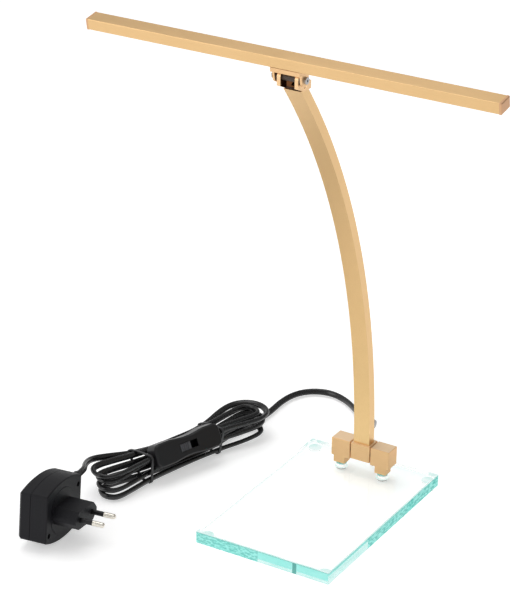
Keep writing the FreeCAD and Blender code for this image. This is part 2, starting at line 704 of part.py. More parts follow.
CORD_LEAD = [
    (0, 70.8, 43), (-1.5, 83, 42), (-8, 99, 32), (-20, 118, 17), (-35, 137, 7.5), (-53, 156, 3.8),
    (-72, 171, 3.4), (-90, 176, 3.4), (-105, 170, 3.4), (-113.5, 157, 3.4), (-115.5, 140, 3.4),
    (-114, 122, 3.4),
]
HANK_CENTRE = (-130.6, 14.5)
HANK_ANGLE = 74
HANK_TURNS = 3.5
HANK_LAYERS = 4
HANK_HALF = 70
HANK_INNER_RADIUS = 8
HANK_WAIST = 2.8
HANK_WAIST_PITCH = 1.0
HANK_TIGHT = 32
HANK_PITCH = 5.0
HANK_LEAN = 2.2
HANK_BOTTOM = 3.4
LAYER_HEIGHT = 5.15
HANK_START = 3 / 10
HANK_CLIMB = 1 / 4
SWITCH_IN_HANK = (-5, -9.1, 20.8)
SWITCH_TURN = -2
SWITCH_TILT = 63

# The cord after the switch: round the hank's right end, back over its top and on to the plug.
TAIL_IN_HANK = [
    (38, -9.8, 20.8), (53, -12.5, 20.4), (70, -14.3, 19.8), (82.4, -9.1, 19.4), (87.6, 3.3, 19.4),
    (82.4, 15.7, 19.4), (70, 20.9, 19.2), (54, 18.2, 18.2), (38, 13.2, 16.6), (20, 11, 15.7),
    (0, 10.7, 15.5), (-20, 11.2, 15.7), (-39, 13.9, 16.8), (-57, 19.2, 19), (-73, 20.2, 22.2), (-86, 12, 26),
]


def rounded_path(points):
    """Straight runs joined by tangent arcs, each as large as its two runs allow."""
    pts = [Vector(*q) for q in points]
    edges, radii, start = [], [], pts[0]
    for before, here, after in zip(pts, pts[1:], pts[2:]):
        into, out = here - before, after - here
        turn = into.getAngle(out)
        run = min(into.Length, out.Length)
        back = 0.45 * run
        radii.append(back / math.tan(turn / 2))
        into, out = into.normalize(), out.normalize()
        first, last = here - into * back, here + out * back
        edges.append(Part.LineSegment(start, first).toShape())
        edges.append(arc_edge(first, arc_middle(first, into, last), last))
        start = last
    edges.append(Part.LineSegment(start, pts[-1]).toShape())
    return Part.Wire(edges), radii


def arc_middle(start, tangent, end):
    """The middle of the arc that leaves start along tangent and reaches end, or None if it is straight."""
    chord = end - start
    angle = tangent.getAngle(chord)
    if angle < 1e-4:
        return None
    along = Vector(chord).normalize()
    side = (tangent - along * tangent.dot(along)).normalize()
    return (start + end) * 0.5 + side * (chord.Length / 2 * math.tan(angle / 2))


def arc_edge(start, middle, end):
    if middle is None:
        return Part.LineSegment(start, end).toShape()
    return Part.Arc(start, middle, end).toShape()


def biarc(start, leaving, end, arriving):
    """Two arcs that join two points with given directions."""
    span, both = end - start, leaving + arriving
    quad = 2 * (1 - leaving.dot(arriving))
    if quad > 1e-6:
        reach = (-span.dot(both) + math.sqrt(span.dot(both) ** 2 + quad * span.dot(span))) / quad
    else:
        reach = span.dot(span) / (4 * span.dot(arriving))
    joint = (start + end + (leaving - arriving) * reach) * 0.5
    return [arc_edge(start, arc_middle(start, leaving, joint), joint),
            arc_edge(joint, arc_middle(end, arriving * -1, joint), end)]


def ring_section(centre, towards, radius):
    """A cord's six-sided section, square to its first run, with a flat underneath."""
    side = towards.cross(Z).normalize()
    up = side.cross(towards).normalize()
    corners = [centre + (side * math.cos(a) + up * math.sin(a)) * radius
               for a in (math.pi / 3 * i for i in range(6))]
    return Part.makePolygon(corners + corners[:1])


def tube(label, wire, first, towards, diameter):
    section = ring_section(first, towards, diameter / 2)
    shape = wire.makePipeShell([section], True, False)
    expected = Part.Face(section).Area * wire.Length
    print("%s: length %.1f, volume %.0f of %.0f" % (label, wire.Length, shape.Volume, expected))
    obj = doc.addObject("Part::Feature", label + "_tube")
    obj.Shape = shape
    return keep(label, obj)


def free_tube(label, points, diameter):
    wire, radii = rounded_path(points)
    print(label, "radii", [round(r, 1) for r in radii])
    first = Vector(*points[0])
    tube(label, wire, first, Vector(*points[1]) - first, diameter)
    return wire


def hank_spot(step):
    """One corner of the hank's loops and its direction, ten to a turn, from a formula."""
    turn = step / 10
    layer_turns = HANK_TURNS / HANK_LAYERS
    climbed = sum(min(1.0, max(0.0, (turn - HANK_START - k * layer_turns) / HANK_CLIMB + 0.5))
                  for k in range(1, HANK_LAYERS))
    spiral = abs((turn - HANK_START) / layer_turns % 2 - 1) * layer_turns
    radius = HANK_INNER_RADIUS + HANK_PITCH * spiral
    waist = HANK_WAIST + HANK_WAIST_PITCH * spiral
    (x, y), (dx, dy) = [
        ((HANK_TIGHT, -waist), (1, 0)), ((HANK_HALF, -radius), (1, 0)), ((HANK_HALF + radius, 0), (0, 1)),
        ((HANK_HALF, radius), (-1, 0)), ((HANK_TIGHT, waist), (-1, 0)), ((-HANK_TIGHT, waist), (-1, 0)),
        ((-HANK_HALF, radius), (-1, 0)), ((-HANK_HALF - radius, 0), (0, -1)), ((-HANK_HALF, -radius), (1, 0)),
        ((-HANK_TIGHT, -waist), (1, 0))][step % 10]
    lean = HANK_LEAN * (climbed - (HANK_LAYERS - 1) / 2)
    return Vector(x, y + lean, HANK_BOTTOM + climbed * LAYER_HEIGHT), Vector(dx, dy, 0)


def hank_frame():
    return Placement(Vector(HANK_CENTRE[0], HANK_CENTRE[1], 0), Rotation(Z, HANK_ANGLE))


def cord_hank():
    """The put-away length of cord: long loops in a leaning pile, drawn in at the waist, up to the switch."""
    frame, switch = hank_frame(), switch_frame()
    steps = range(round(10 * HANK_START), round(10 * (HANK_START + HANK_TURNS)) + 1)
    spots = [tuple(hank_spot(step)) for step in steps]
    spots = [(frame.multVec(point), frame.Rotation.multVec(way)) for point, way in spots]
    into_switch = switch.Rotation.multVec(X)
    half = D["switch_length"] / 2
    spots.append((switch.multVec(Vector(-half - D["cord_diameter"], 0, 0)), into_switch))
    start = spots[0][0] - spots[0][1] * D["cord_diameter"]
    edges = [Part.LineSegment(start, spots[0][0]).toShape()]
    for (a, leaving), (b, arriving) in zip(spots, spots[1:]):
        edges += biarc(a, leaving, b, arriving)
    edges.append(Part.LineSegment(spots[-1][0], switch.multVec(Vector(-half - 0.1, 0, 0))).toShape())
    print("cord_hank gap %.2f" % least_gap(edges))
    wire = Part.Wire(edges)
    tube("cord_hank", wire, start, spots[0][1], D["cord_diameter"])
    return wire, start, spots[0][1]


def least_gap(edges):
    """The least distance between surfaces of the tube's stretches that aren't neighbours."""
    dots, run = [], 0.0
    for edge in edges:
        for point in edge.discretize(Distance=1.5)[:-1]:
            dots.append((run, point))
            run += 1.5
    best = 1e9
    for i, (at, p) in enumerate(dots):
        for there, q in dots[i + 12:]:
            if there - at > 25:
                best = min(best, (p - q).Length)
    return best - D["cord_diameter"]


# Switch on the cord


def switch_frame():
    turn = Rotation(Z, HANK_ANGLE + SWITCH_TURN).multiply(Rotation(X, SWITCH_TILT))
    return Placement(hank_frame().multVec(Vector(*SWITCH_IN_HANK)), turn)


def switch_outline(body, name, inset=0, offset=0):
    """The waisted outline, seen from above."""
    half, wide, waist = "sizes.switch_length / 2 - %g" % inset, "sizes.switch_width / 2 - %g" % inset, "sizes.switch_waist"
    narrow = "%s - %s" % (wide, waist)
    return outline(body, name, "XY_Plane", [
        ("-(%s)" % half, "-(%s)" % wide), ("-(%s) * 0.5" % half, "-(%s)" % wide),
        ("-(%s) * 0.12" % half, "-(%s)" % narrow), ("(%s) * 0.12" % half, "-(%s)" % narrow),
        ("(%s) * 0.5" % half, "-(%s)" % wide), ("(%s)" % half, "-(%s)" % wide),
        ("(%s)" % half, "(%s)" % wide), ("(%s) * 0.5" % half, "(%s)" % wide),
        ("(%s) * 0.12" % half, "(%s)" % narrow), ("-(%s) * 0.12" % half, "(%s)" % narrow),
        ("-(%s) * 0.5" % half, "(%s)" % wide), ("-(%s)" % half, "(%s)" % wide)], offset)


def switch_shell(label, upward):
    """Half of the switch housing, hollow, with cord mouths at both ends."""
    body = new_body(label + "_body")
    outer = switch_outline(body, "shell_outline")
    pad(body, "shell_pad", outer, "sizes.switch_height / 2", backwards=not upward)
    lid = D["switch_height"] / 2 * (1 if upward else -1)
    soften(body, "shell_corners", 5, lambda e: straight(e, Z) and abs(e.CenterOfMass.x) > D["switch_length"] / 2 - 0.1)
    soften(body, "shell_waist", 14, lambda e: straight(e, Z) and abs(e.CenterOfMass.x) < D["switch_length"] * 0.3)
    soften(body, "shell_rim", 1.2, lambda e: abs(e.CenterOfMass.z - lid) < 0.01, "Chamfer")
    room = outline(body, "shell_room", "XY_Plane", rectangle(-23, -5.6, 23, 5.6))
    pocket(body, "shell_room_cut", room, "sizes.switch_height / 2 - 1.6", backwards=upward)
    if not upward:
        wells = circle(body, "screw_wells", "XY_Plane", [(-27.5, 7.5), (27.5, -7.5)], 1.32)
        pocket(body, "screw_wells_cut", wells)
    mouths = circle(body, "cord_mouths", "YZ_Plane", [(0, 0)], "sizes.cord_diameter / 2 + 0.05")
    pocket(body, "cord_mouths_cut", mouths)
    if upward:
        window = outline(body, "slider_window", "XY_Plane", rectangle(
            "-sizes.window_length / 2", "-sizes.window_width / 2",
            "sizes.window_length / 2", "sizes.window_width / 2"))
        pocket(body, "slider_window_cut", window, "sizes.switch_height", backwards=True)
    body.Placement = switch_frame()
    keep(label, body)


def switch_inside():
    frame = switch_frame()
    start = -D["window_length"] / 2 + 0.4
    lid = D["switch_height"] / 2
    top = box("slider_top", "sizes.slider_length", "sizes.window_width - 0.5", 2.4, start,
              "-sizes.window_width / 2 + 0.25", lid - 2.2)
    sole = box("slider_sole", "sizes.slider_length + 2.4", 9, 1.2, start - 1.2, -4.5, lid - 3.0)
    ribs = [box("slider_rib", 0.8, "sizes.window_width - 0.5", 0.5, start + 1.6 + 1.8 * i,
                "-sizes.window_width / 2 + 0.25", lid + 0.2) for i in range(4)]
    slider = fuse("slider_solid", top, sole, *ribs)
    keep("switch_slider", put("switch_slider_placed", slider, frame))
    carrier = box("contact_carrier", 30, 11, 2.6, -15, -5.5, -4.4)
    keep("switch_contacts", put("switch_contacts_placed", carrier, frame))
    screws = [cylinder("housing_screw", 1.3, 3.4, side * 27.5, -side * 7.5, -lid) for side in (-1, 1)]
    keep("switch_screws", put("switch_screws_placed", group("housing_screw_pair", screws), frame))


def put(name, obj, frame):
    wrap = doc.addObject("Part::Compound", name)
    wrap.Links = [obj]
    wrap.Placement = frame
    return wrap


def hank_tie(label, along, wires):
    """A thin wire tie drawn round every strand that passes one place along the hank."""
    frame = hank_frame()
    back = frame.inverse()
    strands = [back.multVec(point) for wire in wires for point in wire.discretize(Distance=1.0)]
    strands = [p for p in strands if abs(p.x - along) < 0.8]
    outer, inner = (Part.Face(hull_wire(strands, D["cord_diameter"] / 2 + out)) for out in (1.2, 0.35))
    ring = outer.cut(inner).extrude(Vector(2, 0, 0))
    obj = doc.addObject("Part::Feature", label + "_ring")
    obj.Shape = ring
    obj.Placement = frame.multiply(Placement(Vector(along - 1, 0, 0), Rotation()))
    keep(label, obj)


def hull_wire(strands, radius):
    """The tight outline round circles of one radius, in the plane across the hank."""
    turns = [2 * math.pi * i / 24 for i in range(24)]
    dots = sorted((s.y + radius * math.cos(a), s.z + radius * math.sin(a)) for s in strands for a in turns)
    halves = []
    for run in (dots, dots[::-1]):
        side = []
        for dot in run:
            while len(side) > 1 and turns_right(side[-2], side[-1], dot):
                side.pop()
            side.append(dot)
        halves += side[:-1]
    return Part.makePolygon([Vector(0, y, z) for y, z in halves + halves[:1]])


def turns_right(a, b, c):
    return (b[0] - a[0]) * (c[1] - a[1]) - (b[1] - a[1]) * (c[0] - a[0]) <= 1e-6


# Wall plug with its supply


def plug_frame():
    turn = Rotation(Z, 7.43).multiply(Rotation(X, -6.94))
    return Placement(Vector(-122.5, -125.5, 23.75), turn)


def cover_outline(body, name, offset, inset=0.0):
    """Straight sides with a bulged top and bottom, in the plane across the pins."""
    half, side = D["cover_width"] / 2 - inset, D["cover_side"] / 2 - inset
    crown = side + D["cover_bulge"]
    sketch = body.newObject("Sketcher::SketchObject", name)
    sketch.AttachmentSupport = [(plane_of(body, "YZ_Plane"), "")]
    sketch.MapMode = "FlatFace"
    sketch.AttachmentOffset = Placement(Vector(D["cover_shift"], 0, offset), Rotation())
    corners = [Vector(half, -side, 0), Vector(half, side, 0), Vector(-half, side, 0), Vector(-half, -side, 0)]
    sketch.addGeometry(Part.LineSegment(corners[0], corners[1]), False)
    sketch.addGeometry(Part.Arc(corners[1], Vector(0, crown, 0), corners[2]), False)
    sketch.addGeometry(Part.LineSegment(corners[2], corners[3]), False)
    sketch.addGeometry(Part.Arc(corners[3], Vector(0, -crown, 0), corners[0]), False)
    return sketch


def adapter_covers():
    face = -D["nose_length"]
    parting = face - D["front_cover_depth"]
    for label, start, depth, forward in (("adapter_front_cover", parting + 0.15, "sizes.front_cover_depth - 0.15", True),
                                         ("adapter_back_cover", parting - 0.15, "sizes.back_cover_depth - 0.15", False)):
        body = new_body(label + "_body")
        sketch = cover_outline(body, "cover_outline", start)
        pad(body, "cover_pad", sketch, depth, backwards=not forward)
        far = face if forward else parting - D["back_cover_depth"]
        soften(body, "cover_corners", 2, lambda e: straight(e, X))
        soften(body, "cover_rim", 0.7 if forward else 2, lambda e: abs(e.CenterOfMass.x - far) < 0.01, "Chamfer")
        room = cover_outline(body, "cover_room", start, D["cover_wall"])
        deep = "sizes.front_cover_depth - 3.2" if forward else "sizes.back_cover_depth - 2.4"
        pocket(body, "cover_room_cut", room, deep, backwards=forward)
        if forward:
            seat = circle(body, "disc_seat", "YZ_Plane", [(0, 0)], 17.6, offset=face + 1)
            pocket(body, "disc_seat_cut", seat, "1.6")
            holes = circle(body, "screw_wells", "YZ_Plane", [(-19.5, -13), (24, 12)], 2.0, offset=face + 1)
            pocket(body, "screw_wells_cut", holes, "30")
        body.Placement = plug_frame()
        keep(label, body)


def plug_nose():
    """The disc in the front cover with the two-pin plug's flattened hexagon on it."""
    body = new_body("plug_nose_body")
    half, flat, high = "sizes.nose_width / 2", 11.2, "sizes.nose_height / 2"
    hexagon = outline(body, "nose_outline", "YZ_Plane", [
        (-11.2, "-" + high), (11.2, "-" + high), (half, 0), (11.2, high), (-11.2, high), ("-" + half, 0)])
    pad(body, "nose_pad", hexagon, "sizes.nose_length", backwards=True)
    soften(body, "nose_sides", 3, lambda e: straight(e, X) and abs(e.CenterOfMass.z) < 0.1)
    disc = circle(body, "disc", "YZ_Plane", [(0, 0)], 17.4, offset=-D["nose_length"] + 0.2)
    pad(body, "disc_pad", disc, "0.8", backwards=True)
    bores = circle(body, "pin_bores", "YZ_Plane", [("-sizes.pin_spacing / 2", 0), ("sizes.pin_spacing / 2", 0)],
                   "sizes.pin_diameter / 2 + 0.02")
    pocket(body, "pin_bores_cut", bores, "8")
    body.Placement = plug_frame()
    keep("plug_nose", body)


def plug_pins():
    sleeves, pins = [], []
    for side in (-1, 1):
        y = "%d * sizes.pin_spacing / 2" % side
        pins.append(cylinder("pin_tip", "sizes.pin_diameter / 2", "sizes.pin_length - 10", 10, y, 0, "x"))
        sleeves.append(cylinder("pin_sleeve", "sizes.pin_diameter / 2 - 0.1", 18, -8, y, 0, "x"))
    tips = []
    for pin in pins:
        tip = doc.addObject("Part::Chamfer", "pin_chamfer")
        tip.Base = pin
        doc.recompute()
        rim = next(i for i, e in enumerate(pin.Shape.Edges, 1)
                   if len(e.Vertexes) == 1 and e.BoundBox.XMin > 18.9)
        tip.Edges = [(rim, 1.0, 1.0)]
        tips.append(tip)
    keep("plug_pins", put("plug_pins_placed", group("pin_pair", tips), plug_frame()))
    keep("pin_sleeves", put("pin_sleeves_placed", group("sleeve_pair", sleeves), plug_frame()))


def adapter_inside():
    """Transformer and board behind the pins, and the cover screws."""
    face = -D["nose_length"]
    core = box("core", 13, 32, 24, face - 18, D["cover_shift"] - 16, -12)
    keep("adapter_transformer", put("adapter_transformer_placed", core, plug_frame()))


def plug_relief():
    """The ribbed strain relief on the far upper side of the plug's housing."""
    frame = plug_frame()
    parting = -D["nose_length"] - D["front_cover_depth"]
    half = D["cover_width"] / 2 + D["cover_shift"]
    core = cylinder("relief_core", 3.4, 9, parting + 5, half, 12, "y")
    grooves = []
    for i in range(3):
        ring = cylinder("relief_ring", 4.4, 0.9, parting + 5, half + 2.4 + 2.2 * i, 12, "y")
        hole = cylinder("relief_waist", 2.8, 2, parting + 5, half + 2 + 2.2 * i, 12, "y")
        grooves.append(cut("relief_groove", ring, hole))
    solid = cut("relief_solid", core, fuse("relief_grooves", *grooves))
    keep("plug_strain_relief", put("plug_strain_relief_placed", solid, frame))
    end = frame.multVec(Vector(parting + 5, half + 9, 12))
    out = frame.Rotation.multVec(Y)
    return end, out


def cord_tail(end, out):
    """From the switch's right end, round the hank and back over it, to the plug."""
    frame = hank_frame()
    start = switch_frame().multVec(Vector(D["switch_length"] / 2 + 0.1, 0, 0))
    middle = [frame.multVec(Vector(*point)) for point in TAIL_IN_HANK]
    points = [start] + middle + [end + out * 12, end]
    return free_tube("cord_tail", [tuple(q) for q in points], D["cord_diameter"])


def check_and_export():
    doc.recompute()
    for obj in doc.Objects:
        bad = [state for state in obj.State if state in ("Invalid", "Error")]
        assert not bad, "%s is %s" % (obj.Name, bad)
    names = [obj.Label for obj in pieces]
    assert len(set(names)) == len(names), "a label is used twice"
    os.makedirs("parts", exist_ok=True)
    for obj in pieces:
        shape = obj.Shape
        assert not shape.isNull() and shape.isValid(), obj.Label + " isn't a valid shape"
        assert shape.Solids, obj.Label + " has no solid"
    for obj in pieces:
        obj.Shape.exportStep("parts/%s.step" % obj.Label)
    print(len(pieces), "pieces")


def main():
    glass_plate()
    base_bumpers()
    base_fixings()
    outer_block("hinge_block_left", -1)
    outer_block("hinge_block_right", 1)
    middle_block()
    hinge_small_parts()
    arm_tube()
    arm_small_parts()
    knuckle()
    arm_lead()
    light_profile()
    end_cap("end_cap_left", -1)
    end_cap("end_cap_right", 1)
    light_source()
    head_bracket()
    pivot_parts()
    hank, start, way = cord_hank()
    lead = CORD_LEAD + [tuple(start - way * 15), tuple(start)]
    free_tube("cord_lead", lead, D["cord_diameter"])
    switch_shell("switch_cover", True)
    switch_shell("switch_base", False)
    switch_inside()
    adapter_covers()
    plug_nose()
    plug_pins()
    adapter_inside()
    end, out = plug_relief()
    tail = cord_tail(end, out)
    hank_tie("hank_tie_left", -39, [hank, tail])
    hank_tie("hank_tie_right", 31, [hank, tail])
    check_and_export()


main()
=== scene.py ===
"""Piano lamp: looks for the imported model. Metres, +Z up, the light bar lies along X."""

import math

import bmesh
import bpy
from mathutils import Matrix, Vector


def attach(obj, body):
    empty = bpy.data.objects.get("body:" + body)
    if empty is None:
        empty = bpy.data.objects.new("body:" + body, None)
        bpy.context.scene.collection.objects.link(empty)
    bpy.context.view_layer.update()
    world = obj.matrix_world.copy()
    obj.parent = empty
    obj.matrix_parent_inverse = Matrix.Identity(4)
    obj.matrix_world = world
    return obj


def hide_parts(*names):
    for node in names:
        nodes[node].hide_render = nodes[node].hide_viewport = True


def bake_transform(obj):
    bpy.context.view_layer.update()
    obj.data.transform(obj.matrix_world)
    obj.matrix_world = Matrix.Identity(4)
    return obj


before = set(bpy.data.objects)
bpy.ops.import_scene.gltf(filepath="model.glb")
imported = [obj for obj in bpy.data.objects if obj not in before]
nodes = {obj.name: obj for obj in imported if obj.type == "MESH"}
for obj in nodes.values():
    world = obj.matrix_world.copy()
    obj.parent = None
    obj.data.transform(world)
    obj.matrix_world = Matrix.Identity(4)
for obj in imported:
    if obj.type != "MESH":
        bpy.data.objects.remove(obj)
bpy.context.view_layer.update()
scene = bpy.context.scene
MM = 0.001


# Camera

SENSOR_WIDTH = 36.0
FOCAL_LENGTH = 139.65
CAMERA_PLACE = Vector((0.7220, -1.3199, 0.8616))
CAMERA_AIM = Vector((-0.4593, 0.7854, -0.4150))
ROLL = math.radians(-1.005)


def make_camera():
    data = bpy.data.cameras.new("camera")
    data.sensor_width = SENSOR_WIDTH
    data.lens = FOCAL_LENGTH
    data.clip_start = 0.1
    data.clip_end = 20.0
    camera = bpy.data.objects.new("camera", data)
    forward = CAMERA_AIM.normalized()
    level = forward.cross(Vector((0, 0, 1))).normalized()
    upright = level.cross(forward)
    right = level * math.cos(ROLL) - upright * math.sin(ROLL)
    up = upright * math.cos(ROLL) + level * math.sin(ROLL)
    turn = Matrix((right, up, -forward)).transposed()
    camera.matrix_world = Matrix.Translation(CAMERA_PLACE) @ turn.to_4x4()
    scene.collection.objects.link(camera)
    scene.camera = camera


# Cords: the same routes as the solids, as smooth splines

CORD_WIDTH = 5.0 * MM
CORD_HEIGHT = 3.5 * MM
SOLID_CORD = 4.4
LEVEL_ENOUGH = 0.15
LEAD = [
    (0, 70.8, 43), (-1.5, 83, 42), (-8, 99, 32), (-20, 118, 17), (-35, 137, 7.5), (-53, 156, 3.8),
    (-72, 171, 3.4), (-90, 176, 3.4), (-105, 170, 3.4), (-113.5, 157, 3.4), (-115.5, 140, 3.4),
    (-114, 122, 3.4),
]
HANK_CENTRE = Vector((-130.6, 14.5, 0))
HANK_ANGLE = math.radians(74)
TURNS, LAYERS, HALF = 3.5, 4, 70
INNER, WAIST, PITCH, WAIST_PITCH, LEAN = 8, 2.8, 5.0, 1.0, 2.2
TIGHT = 32
BOTTOM, LAYER = 3.4, 5.15
START, CLIMB = 3 / 10, 1 / 4
SWITCH_SPOT = Vector((-5, -9.1, 20.8))
SWITCH_ANGLE = math.radians(72)
SWITCH_TILT = math.radians(63)
SWITCH_HALF = 31.5
TAIL = [
    (38, -9.8, 20.8), (53, -12.5, 20.4), (70, -14.3, 19.8), (82.4, -9.1, 19.4), (87.6, 3.3, 19.4),
    (82.4, 15.7, 19.4), (70, 20.9, 19.2), (54, 18.2, 18.2), (38, 13.2, 16.6), (20, 11, 15.7),
    (0, 10.7, 15.5), (-20, 11.2, 15.7), (-39, 13.9, 16.8), (-57, 19.2, 19), (-73, 20.2, 22.2), (-86, 12, 26),
]
PLUG_SPOT = Vector((-122.5, -125.5, 23.75))
PLUG_TURN = Matrix.Rotation(math.radians(7.43), 4, "Z") @ Matrix.Rotation(math.radians(-6.94), 4, "X")
RELIEF = Vector((-28.0, 38.0, 12.0))


def from_hank(point):
    return HANK_CENTRE + Matrix.Rotation(HANK_ANGLE, 3, "Z") @ Vector(point)


def hank_point(turn, place, side):
    """A loop's point: place is 0 in the waist, 1 where the bend starts and 2 at its end; side is -1..1."""
    layer_turns = TURNS / LAYERS
    climbed = sum(min(1.0, max(0.0, (turn - START - k * layer_turns) / CLIMB + 0.5)) for k in range(1, LAYERS))
    spiral = abs((turn - START) / layer_turns % 2 - 1) * layer_turns
    radius = INNER + PITCH * spiral
    waist = WAIST + WAIST_PITCH * spiral
    along = abs(place)
    if along < 1:
        x, wide = TIGHT + (HALF - TIGHT) * along, waist + (radius - waist) * along
    else:
        x, wide = HALF + radius * (along - 1), radius
    if along == 0:
        wide = waist
    lean = LEAN * (climbed - (LAYERS - 1) / 2)
    return Vector((math.copysign(x, place), wide * side + lean, BOTTOM + climbed * LAYER))


BEND = 0.414
LOOP = [
    (0.0, 0.0, -1), (0.06, 0.6, -1), (0.12, 1 + BEND, -1), (0.18, 2.0, -BEND), (0.22, 2.0, BEND),
    (0.28, 1 + BEND, 1), (0.34, 0.6, 1), (0.4, 0.0, 1), (0.5, -0.0, 1), (0.56, -0.6, 1), (0.62, -1 - BEND, 1),
    (0.68, -2.0, BEND), (0.72, -2.0, -BEND), (0.78, -1 - BEND, -1), (0.84, -0.6, -1), (0.9, -0.0, -1),
]


def hank_route():
    route = []
    for lap in range(math.ceil(START + TURNS)):
        for part, place, side in LOOP:
            turn = lap + part
            if START + 0.01 < turn < START + TURNS + 0.01:
                route.append(from_hank(hank_point(turn, place, side)))
    return route


def switch_matrix():
    turn = Matrix.Rotation(SWITCH_ANGLE, 4, "Z") @ Matrix.Rotation(SWITCH_TILT, 4, "X")
    return Matrix.Translation(from_hank(SWITCH_SPOT)) @ turn


def spline_points(name, route):
    """Points along the smooth spline that has the route's points as its control points."""
    data = bpy.data.curves.new(name + "_route", "CURVE")
    data.dimensions = "3D"
    spline = data.splines.new("NURBS")
    spline.points.add(len(route) - 1)
    for point, place in zip(spline.points, route):
        point.co = (place[0] * MM, place[1] * MM, place[2] * MM, 1.0)
    spline.use_endpoint_u = True
    spline.order_u = 3
    spline.resolution_u = 8
    holder = bpy.data.objects.new(name + "_route", data)
    mesh = bpy.data.meshes.new_from_object(holder)
    points = [vertex.co.copy() for vertex in mesh.vertices]
    bpy.data.objects.remove(holder)
    bpy.data.curves.remove(data)
    bpy.data.meshes.remove(mesh)
    return points


def twin_section(width, height, count=18):
    """A flat two-core cord's outline: two joined rounds with a shallow groove between."""
    outline = []
    lobe = (width - height) / 2
    for i in range(count):
        angle = 2 * math.pi * i / count
        x = math.cos(angle) * height / 2 + math.copysign(lobe, math.cos(angle)) * min(1, abs(math.cos(angle)) * 3)
        groove = 1 - 0.13 * math.exp(-((x / (width * 0.11)) ** 2))
        outline.append((x, math.sin(angle) * height / 2 * groove))
    return outline


def sweep(name, points, section, roll, body):
    """A mesh tube along the points; roll gives the section's turn at a distance along the path."""
    mesh = bmesh.new()
    rings = []
    distance = 0.0
    side = None
    for i, point in enumerate(points):
        ahead = (points[min(i + 1, len(points) - 1)] - points[max(i - 1, 0)]).normalized()
        if i:
            distance += (point - points[i - 1]).length
        level = ahead.cross(Vector((0, 0, 1)))
        if level.length > LEVEL_ENOUGH or side is None:
            side = level.normalized()
        else:
            side = (side - ahead * side.dot(ahead)).normalized()
        up = side.cross(ahead)
        angle = roll(distance)
        across = side * math.cos(angle) + up * math.sin(angle)
        over = across.cross(ahead)
        rings.append([mesh.verts.new(point + across * x + over * y) for x, y in section])
    for low, high in zip(rings, rings[1:]):
        for j in range(len(section)):
            k = (j + 1) % len(section)
            mesh.faces.new((low[j], low[k], high[k], high[j]))
    mesh.faces.new(rings[0][::-1])
    mesh.faces.new(rings[-1])
    bmesh.ops.recalc_face_normals(mesh, faces=mesh.faces)
    return finish_mesh(name, mesh, body)


def finish_mesh(name, mesh, body, smooth=True):
    data = bpy.data.meshes.new(name)
    mesh.to_mesh(data)
    mesh.free()
    for face in data.polygons:
        face.use_smooth = smooth
    obj = bpy.data.objects.new(name, data)
    scene.collection.objects.link(obj)
    if body:
        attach(obj, body)
    return obj


def make_cords():
    switch = switch_matrix()
    into = [switch @ Vector((-SWITCH_HALF - SOLID_CORD, 0, 0)), switch @ Vector((-SWITCH_HALF + 1.5, 0, 0))]
    first = hank_point(START, 1, 1) + Vector((SOLID_CORD, 0, 0))
    route = LEAD + [from_hank(first + Vector((15, 0, 0))), from_hank(first)] + hank_route() + into
    points = spline_points("power_lead", route)
    section = twin_section(CORD_WIDTH, CORD_HEIGHT)
    lead = sweep("power_lead", points, section,
                 lambda s: math.radians(62 + 24 * math.sin(s * 21) + 12 * math.sin(s * 53 + 1)), None)
    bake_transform(lead)
    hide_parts("cord_lead", "cord_hank")
    start = switch @ Vector((SWITCH_HALF - 1.5, 0, 0))
    relief = Matrix.Translation(PLUG_SPOT) @ PLUG_TURN
    ends = [relief @ (RELIEF + Vector((0, 12, 0))), relief @ RELIEF]
    tail_points = spline_points("plug_lead", [start] + [from_hank(point) for point in TAIL] + ends)
    tail = sweep("plug_lead", tail_points, section,
                 lambda s: math.radians(48 + 22 * math.sin(s * 24 + 2)), "base")
    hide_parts("cord_tail")
    return lead, tail


make_camera()
power_lead, plug_lead = make_cords()


# Materials


def linear(red, green, blue):
    out = []
    for value in (red, green, blue):
        value /= 255
        out.append(value / 12.92 if value <= 0.04045 else ((value + 0.055) / 1.055) ** 2.4)
    return (*out, 1.0)


class Tree:
    """A small helper that adds and links the nodes of a material or of the world."""

    def __init__(self, tree):
        self.tree = tree

    def add(self, kind, **values):
        node = self.tree.nodes.new(kind)
        for key, value in values.items():
            if hasattr(node, key):
                setattr(node, key, value)
            else:
                node.inputs[key.replace("_", " ")].default_value = value
        return node

    def link(self, source, target):
        self.tree.links.new(source, target)

    def axes(self, vector):
        split = self.add("ShaderNodeSeparateXYZ")
        self.link(vector, split.inputs[0])
        return split.outputs

    def span(self, source, low, high, from_low=0.0, from_high=1.0):
        node = self.add("ShaderNodeMapRange")
        for key, value in (("From Min", from_low), ("From Max", from_high), ("To Min", low), ("To Max", high)):
            node.inputs[key].default_value = value
        self.link(source, node.inputs["Value"])
        return node.outputs["Result"]

    def math(self, operation, *values):
        node = self.add("ShaderNodeMath", operation=operation)
        for key, value in enumerate(values):
            if isinstance(value, (int, float)):
                node.inputs[key].default_value = value
            else:
                self.link(value, node.inputs[key])
        return node.outputs[0]

    def above(self, value, limit):
        return self.math("GREATER_THAN", value, limit)

    def below(self, value, limit):
        return self.math("LESS_THAN", value, limit)

    def both(self, first, second):
        return self.math("MULTIPLY", first, second)

    def without(self, value):
        return self.math("SUBTRACT", 1.0, value)

    def size_of(self, value):
        return self.math("ABSOLUTE", value)


